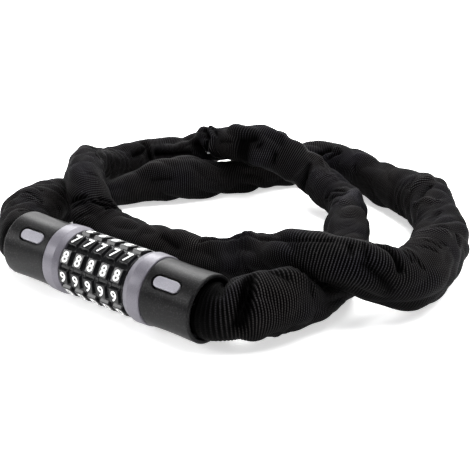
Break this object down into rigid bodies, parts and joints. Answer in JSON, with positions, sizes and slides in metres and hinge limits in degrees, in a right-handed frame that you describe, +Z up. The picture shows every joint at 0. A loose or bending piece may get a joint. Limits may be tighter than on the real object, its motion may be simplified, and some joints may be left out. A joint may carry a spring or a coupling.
{
  "type": "combination chain lock",
  "caption": "Combination lock with number dials between two capped ends, joined by a chain in a black woven sleeve; a toothed plug slides out when the dials are in line.",
  "frame": {"origin": "on the floor under the middle of the lock's body", "axes": "+X along the lock's axis from the plug's cap to the body's cap, +Y towards the piled chain, +Z up"},
  "size_m": [0.2614, 0.2391, 0.046],
  "materials": {
    "cap_black": "satin black",
    "collar_grey": "satin grey",
    "inlay_grey": "satin grey",
    "dial_black": "gloss black with white numbers",
    "sleeve_black": "black ribbed weave",
    "chain_steel": "plain",
    "plated_steel": "plated",
    "spring_steel": "plain",
    "ring_brass": "plain"
  },
  "bodies": {
    "lock_body": {"lock_tube": "plated_steel", "detent_leaf": "spring_steel", "body_collar": "collar_grey", "entry_collar": "collar_grey", "retaining_clip": "spring_steel", "wave_washer": "spring_steel", "body_cap": "cap_black", "body_inlay": "inlay_grey", "body_cap_screw": "plated_steel", "body_anchor_pin": "plated_steel", "body_sleeve_clamp": "plated_steel", "chain_sleeve": "sleeve_black", "body_end_link": "chain_steel", "body_link_1": "chain_steel", "body_link_2": "chain_steel", "body_link_3": "chain_steel", "body_link_4": "chain_steel", "body_link_5": "chain_steel", "body_link_6": "chain_steel", "body_link_7": "chain_steel", "body_link_8": "chain_steel", "body_link_9": "chain_steel", "body_link_10": "chain_steel", "body_link_11": "chain_steel", "body_link_12": "chain_steel", "body_link_13": "chain_steel", "body_link_14": "chain_steel", "body_link_15": "chain_steel", "body_link_16": "chain_steel", "body_link_17": "chain_steel", "body_link_18": "chain_steel", "body_link_19": "chain_steel", "body_link_20": "chain_steel", "body_link_21": "chain_steel", "body_link_22": "chain_steel", "body_link_23": "chain_steel", "body_link_24": "chain_steel", "body_link_25": "chain_steel", "body_link_26": "chain_steel", "body_link_27": "chain_steel"},
    "dial_1": {"number_dial_1": "dial_black", "code_ring_1": "ring_brass"},
    "dial_2": {"number_dial_2": "dial_black", "code_ring_2": "ring_brass"},
    "dial_3": {"number_dial_3": "dial_black", "code_ring_3": "ring_brass"},
    "dial_4": {"number_dial_4": "dial_black", "code_ring_4": "ring_brass"},
    "dial_5": {"number_dial_5": "dial_black", "code_ring_5": "ring_brass"},
    "plug": {"plug_shank": "plated_steel", "plug_cap": "cap_black", "plug_inlay": "inlay_grey", "plug_cap_screw": "plated_steel", "plug_anchor_pin": "plated_steel", "plug_sleeve_clamp": "plated_steel", "plug_sleeve": "sleeve_black", "plug_end_link": "chain_steel", "plug_link_1": "chain_steel", "plug_link_2": "chain_steel"}
  },
  "joints": [
    {"name": "dial_1_turn", "type": "hinge", "parent": "lock_body", "child": "dial_1", "pos_m": [-0.017, 0, 0.01745], "axis": [1, 0, 0], "continuous": true},
    {"name": "dial_2_turn", "type": "hinge", "parent": "lock_body", "child": "dial_2", "pos_m": [-0.0085, 0, 0.01745], "axis": [1, 0, 0], "continuous": true},
    {"name": "dial_3_turn", "type": "hinge", "parent": "lock_body", "child": "dial_3", "pos_m": [0, 0, 0.01745], "axis": [1, 0, 0], "continuous": true},
    {"name": "dial_4_turn", "type": "hinge", "parent": "lock_body", "child": "dial_4", "pos_m": [0.0085, 0, 0.01745], "axis": [1, 0, 0], "continuous": true},
    {"name": "dial_5_turn", "type": "hinge", "parent": "lock_body", "child": "dial_5", "pos_m": [0.017, 0, 0.01745], "axis": [1, 0, 0], "continuous": true},
    {"name": "plug_slide", "type": "slide", "parent": "lock_body", "child": "plug", "axis": [-1, 0, 0], "range_m": [0, 0.046]}
  ]
}
